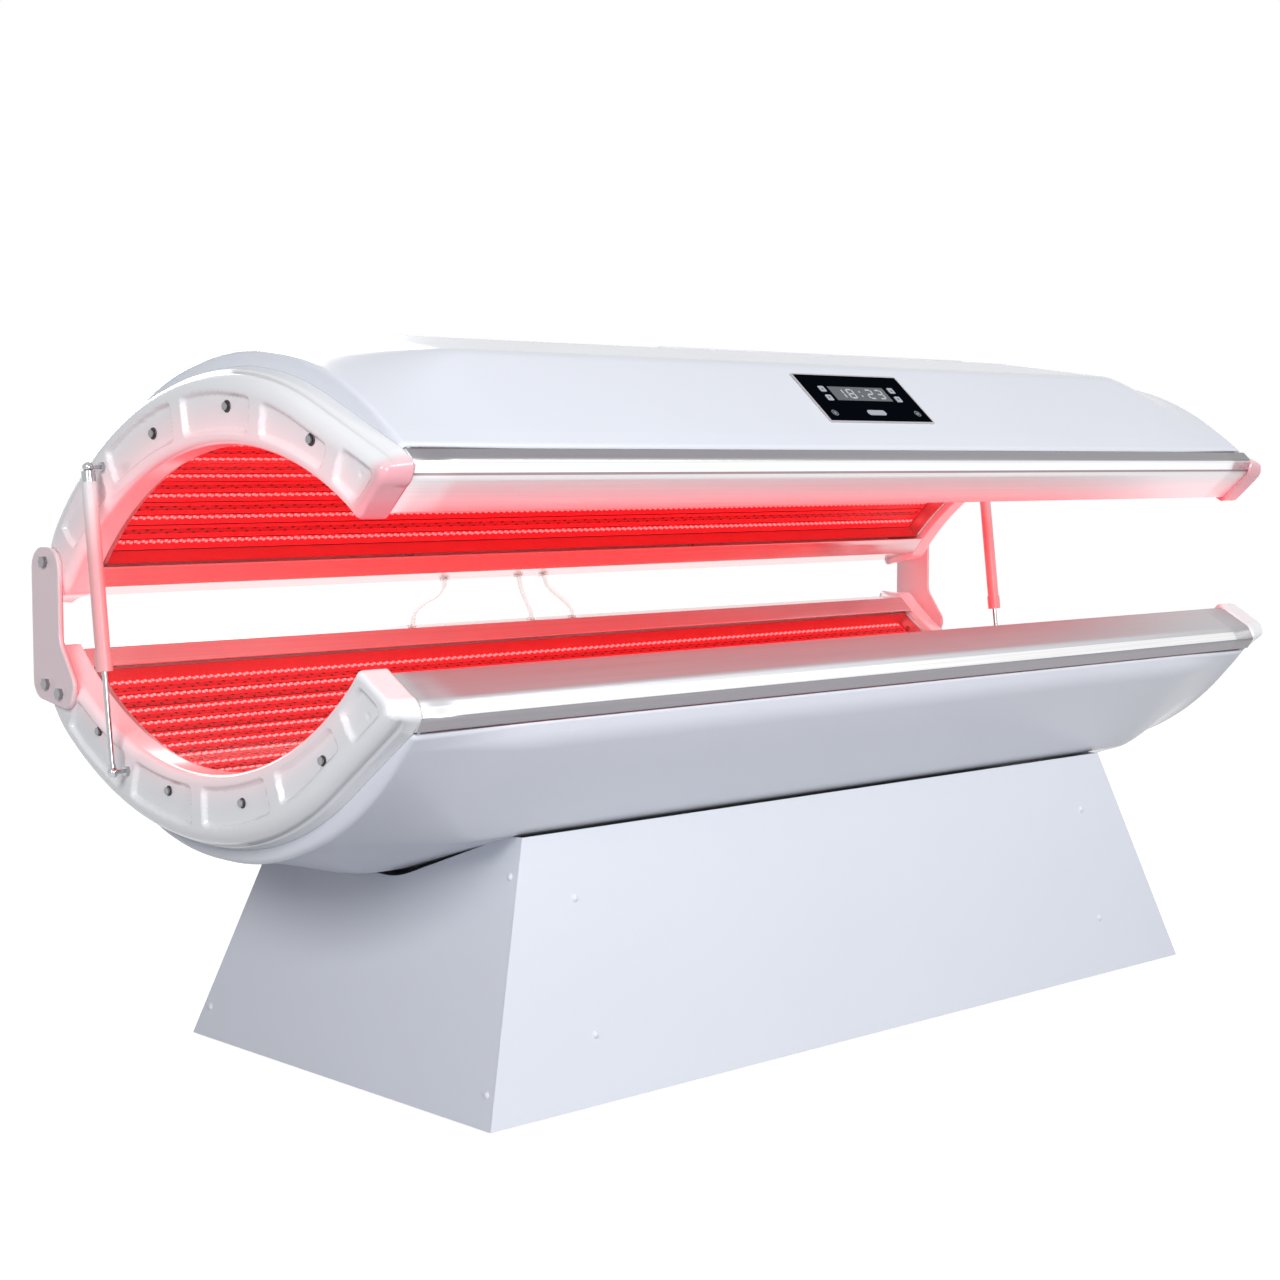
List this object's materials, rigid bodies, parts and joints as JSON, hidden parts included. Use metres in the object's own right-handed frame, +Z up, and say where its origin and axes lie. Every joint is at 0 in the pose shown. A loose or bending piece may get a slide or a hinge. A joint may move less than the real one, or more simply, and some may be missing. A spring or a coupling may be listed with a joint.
{
  "type": "red light therapy bed",
  "caption": "Clamshell light therapy bed: a fixed lower trough on a tapered pedestal and a hinged canopy, both lined with red LED rows behind clear curved sheets.",
  "frame": {"origin": "on the floor, at the middle of the bed's box", "axes": "+X along the bed's length, -Y the open front, +Z up"},
  "size_m": [2.075, 0.9036, 1.0846],
  "materials": {
    "white_paint": "satin white powder coat",
    "grey_steel": "dark painted steel",
    "frame_aluminium": "mill finish",
    "white_gloss": "gloss white moulding",
    "white_shell": "satin white formed cover",
    "rail_aluminium": "brushed",
    "clear_acrylic": "clear, polished",
    "led_tray": "bright reflector",
    "led_board": "lit red LED rows",
    "screw_steel": "dark zinc",
    "chrome": "polished",
    "rubber": "matte",
    "pale_rubber": "matte",
    "black_plastic": "fine texture",
    "driver_case": "satin",
    "vent_plastic": "satin white",
    "panel_black": "black glass look",
    "circuit_board": "solder mask",
    "display": "lit grey screen",
    "key_black": "satin with a pale mark"
  },
  "bodies": {
    "bed": {"base_frame": "grey_steel", "base_front_panel": "white_paint", "base_rear_panel": "white_paint", "base_left_panel": "white_paint", "base_right_panel": "white_paint", "base_panel_screws": "white_paint", "base_feet": "rubber", "mains_inlet": "black_plastic", "led_drivers": "driver_case", "bed_frame": "frame_aluminium", "bed_shell": "white_shell", "bed_left_end_cap": "white_gloss", "bed_right_end_cap": "white_gloss", "bed_front_rail": "rail_aluminium", "bed_rear_rail": "rail_aluminium", "bed_acrylic": "clear_acrylic", "bed_led_tray": "led_tray", "bed_led_boards": "led_board", "bed_cap_screws": "screw_steel", "left_link_plate": "white_paint", "right_link_plate": "white_paint", "hinge_bolts": "screw_steel", "lower_ball_studs": "chrome", "left_cable": "pale_rubber", "middle_cable": "pale_rubber", "right_cable": "pale_rubber", "bed_cable_grommets": "pale_rubber"},
    "canopy": {"canopy_frame": "frame_aluminium", "canopy_shell": "white_shell", "canopy_left_end_cap": "white_gloss", "canopy_right_end_cap": "white_gloss", "canopy_front_rail": "rail_aluminium", "canopy_rear_rail": "rail_aluminium", "canopy_acrylic": "clear_acrylic", "canopy_led_tray": "led_tray", "canopy_led_boards": "led_board", "canopy_cap_screws": "screw_steel", "upper_ball_studs": "chrome", "canopy_cable_grommets": "pale_rubber", "canopy_vent_cover": "vent_plastic", "canopy_fan_frames": "black_plastic", "panel_bezel": "rail_aluminium", "panel_glass": "panel_black", "control_board": "circuit_board", "display_module": "display"},
    "left_strut_rod": {"left_strut_rod": "chrome", "left_strut_rod_end": "chrome"},
    "left_strut_tube": {"left_strut_tube": "white_paint", "left_strut_tube_end": "chrome"},
    "right_strut_rod": {"right_strut_rod": "chrome", "right_strut_rod_end": "chrome"},
    "right_strut_tube": {"right_strut_tube": "white_paint", "right_strut_tube_end": "chrome"},
    "key_left_upper": {"key_left_upper": "key_black"},
    "key_left_lower": {"key_left_lower": "key_black"},
    "key_right_upper": {"key_right_upper": "key_black"},
    "key_right_lower": {"key_right_lower": "key_black"},
    "key_start": {"key_start": "key_black"},
    "left_fan_rotor": {"left_fan_rotor": "black_plastic"},
    "right_fan_rotor": {"right_fan_rotor": "black_plastic"}
  },
  "joints": [
    {"name": "canopy_hinge", "type": "hinge", "parent": "bed", "child": "canopy", "pos_m": [0, 0.398, 0.745], "axis": [-1, 0, 0], "range_deg": [-12, 35], "deforming": ["left_cable", "middle_cable", "right_cable"]},
    {"name": "left_strut_rod_hinge", "type": "hinge", "parent": "bed", "child": "left_strut_rod", "pos_m": [-1.025, 0.182, 0.45], "axis": [-1, 0, 0], "range_deg": [-5, 12]},
    {"name": "left_strut_tube_hinge", "type": "hinge", "parent": "canopy", "child": "left_strut_tube", "pos_m": [-1.025, 0.236, 0.887], "axis": [-1, 0, 0], "range_deg": [-26, 10]},
    {"name": "right_strut_rod_hinge", "type": "hinge", "parent": "bed", "child": "right_strut_rod", "pos_m": [1.025, 0.182, 0.45], "axis": [-1, 0, 0], "range_deg": [-5, 12]},
    {"name": "right_strut_tube_hinge", "type": "hinge", "parent": "canopy", "child": "right_strut_tube", "pos_m": [1.025, 0.236, 0.887], "axis": [-1, 0, 0], "range_deg": [-26, 10]},
    {"name": "key_left_upper_press", "type": "slide", "parent": "canopy", "child": "key_left_upper", "axis": [0, 0.6575, -0.7534], "range_m": [0, 0.0006], "stiffness_N_per_m": 400, "springref_m": -0.0005},
    {"name": "key_left_lower_press", "type": "slide", "parent": "canopy", "child": "key_left_lower", "axis": [0, 0.6575, -0.7534], "range_m": [0, 0.0006], "stiffness_N_per_m": 400, "springref_m": -0.0005},
    {"name": "key_right_upper_press", "type": "slide", "parent": "canopy", "child": "key_right_upper", "axis": [0, 0.6575, -0.7534], "range_m": [0, 0.0006], "stiffness_N_per_m": 400, "springref_m": -0.0005},
    {"name": "key_right_lower_press", "type": "slide", "parent": "canopy", "child": "key_right_lower", "axis": [0, 0.6575, -0.7534], "range_m": [0, 0.0006], "stiffness_N_per_m": 400, "springref_m": -0.0005},
    {"name": "key_start_press", "type": "slide", "parent": "canopy", "child": "key_start", "axis": [0, 0.6575, -0.7534], "range_m": [0, 0.0006], "stiffness_N_per_m": 400, "springref_m": -0.0005},
    {"name": "left_fan_spin", "type": "hinge", "parent": "canopy", "child": "left_fan_rotor", "pos_m": [0.12, 0.06737, 1.0518], "axis": [0, 0.2113, 0.9774], "continuous": true},
    {"name": "right_fan_spin", "type": "hinge", "parent": "canopy", "child": "right_fan_rotor", "pos_m": [0.5, 0.06737, 1.0518], "axis": [0, 0.2113, 0.9774], "continuous": true}
  ],
  "couplings": [
    {"joint": "left_strut_rod_hinge", "follows": "canopy_hinge", "ratio": 0.303},
    {"joint": "left_strut_tube_hinge", "follows": "canopy_hinge", "ratio": -0.697},
    {"joint": "right_strut_rod_hinge", "follows": "canopy_hinge", "ratio": 0.303},
    {"joint": "right_strut_tube_hinge", "follows": "canopy_hinge", "ratio": -0.697}
  ]
}
